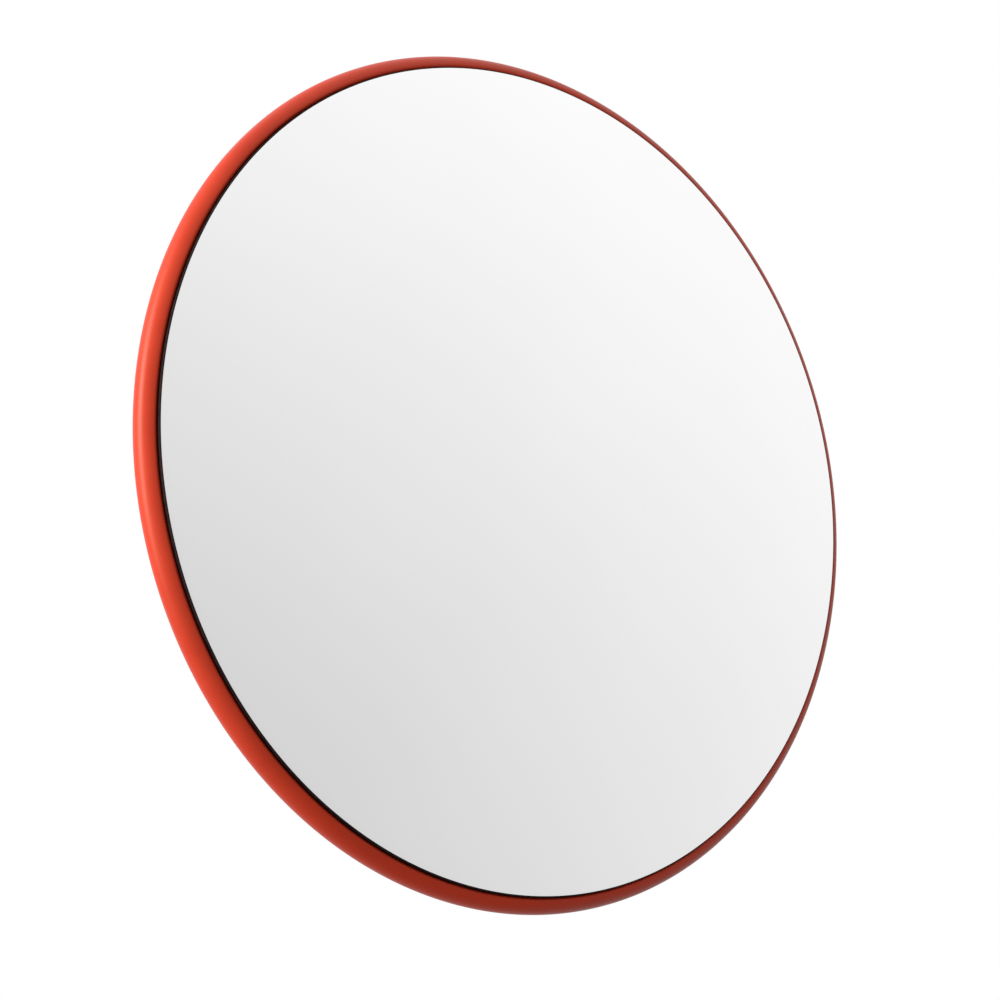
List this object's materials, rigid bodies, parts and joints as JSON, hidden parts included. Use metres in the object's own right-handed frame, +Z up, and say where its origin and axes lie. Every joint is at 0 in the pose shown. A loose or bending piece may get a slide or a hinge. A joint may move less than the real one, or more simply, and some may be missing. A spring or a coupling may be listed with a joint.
{
  "type": "traffic convex mirror",
  "caption": "Round convex safety mirror in an orange rim with a moulded orange back, on a steel wall bracket that turns left and right and tilts up and down.",
  "frame": {"origin": "centre of the wall plate's back face, on the wall", "axes": "+Z up, +Y into the wall along the mirror's axis, +X to the right as seen facing the mirror"},
  "size_m": [0.45, 0.235, 0.45],
  "materials": {
    "mirror_silver": "silvered acrylic, polished",
    "orange_trim": "satin extruded PVC",
    "orange_shell": "fine moulded texture",
    "galvanised_steel": "hot-dip galvanised, dull",
    "zinc_hardware": "bright zinc plated",
    "white_nylon": "natural nylon",
    "black_foam": "closed-cell foam",
    "black_rubber": "matte rubber"
  },
  "bodies": {
    "wall_mount": {"wall_plate": "galvanised_steel", "wall_arm": "galvanised_steel", "pan_bolt": "zinc_hardware", "pan_lock_nut": "zinc_hardware", "pan_washer_top": "zinc_hardware", "pan_washer_bottom": "zinc_hardware"},
    "swivel": {"swivel_yoke": "galvanised_steel", "pan_spacer": "zinc_hardware", "tilt_spacer": "zinc_hardware", "pan_friction_washer_top": "white_nylon", "pan_friction_washer_bottom": "white_nylon", "tilt_friction_washer_right": "white_nylon", "tilt_friction_washer_left": "white_nylon"},
    "mirror_head": {"head_clevis": "galvanised_steel", "head_plate": "galvanised_steel", "tilt_bolt": "zinc_hardware", "tilt_lock_nut": "zinc_hardware", "tilt_washer_right": "zinc_hardware", "tilt_washer_left": "zinc_hardware", "backing_plate": "zinc_hardware", "bracket_bolt_1": "zinc_hardware", "bracket_bolt_2": "zinc_hardware", "bracket_bolt_3": "zinc_hardware", "bracket_bolt_4": "zinc_hardware", "bracket_washer_1": "zinc_hardware", "bracket_washer_2": "zinc_hardware", "bracket_washer_3": "zinc_hardware", "bracket_washer_4": "zinc_hardware", "bracket_nut_1": "zinc_hardware", "bracket_nut_2": "zinc_hardware", "bracket_nut_3": "zinc_hardware", "bracket_nut_4": "zinc_hardware", "flange_screw_1": "zinc_hardware", "flange_screw_2": "zinc_hardware", "flange_screw_3": "zinc_hardware", "flange_screw_4": "zinc_hardware", "flange_screw_5": "zinc_hardware", "flange_screw_6": "zinc_hardware", "flange_screw_7": "zinc_hardware", "flange_screw_8": "zinc_hardware", "mirror_dome": "mirror_silver", "rim_trim": "orange_trim", "back_shell": "orange_shell", "flange_gasket": "black_foam", "edge_seal": "black_rubber"}
  },
  "joints": [
    {"name": "pan", "type": "hinge", "parent": "wall_mount", "child": "swivel", "pos_m": [0, -0.08, 0], "axis": [0, 0, 1], "range_deg": [-30, 30]},
    {"name": "tilt", "type": "hinge", "parent": "swivel", "child": "mirror_head", "pos_m": [0, -0.115, 0], "axis": [1, 0, 0], "range_deg": [-25, 25]}
  ]
}
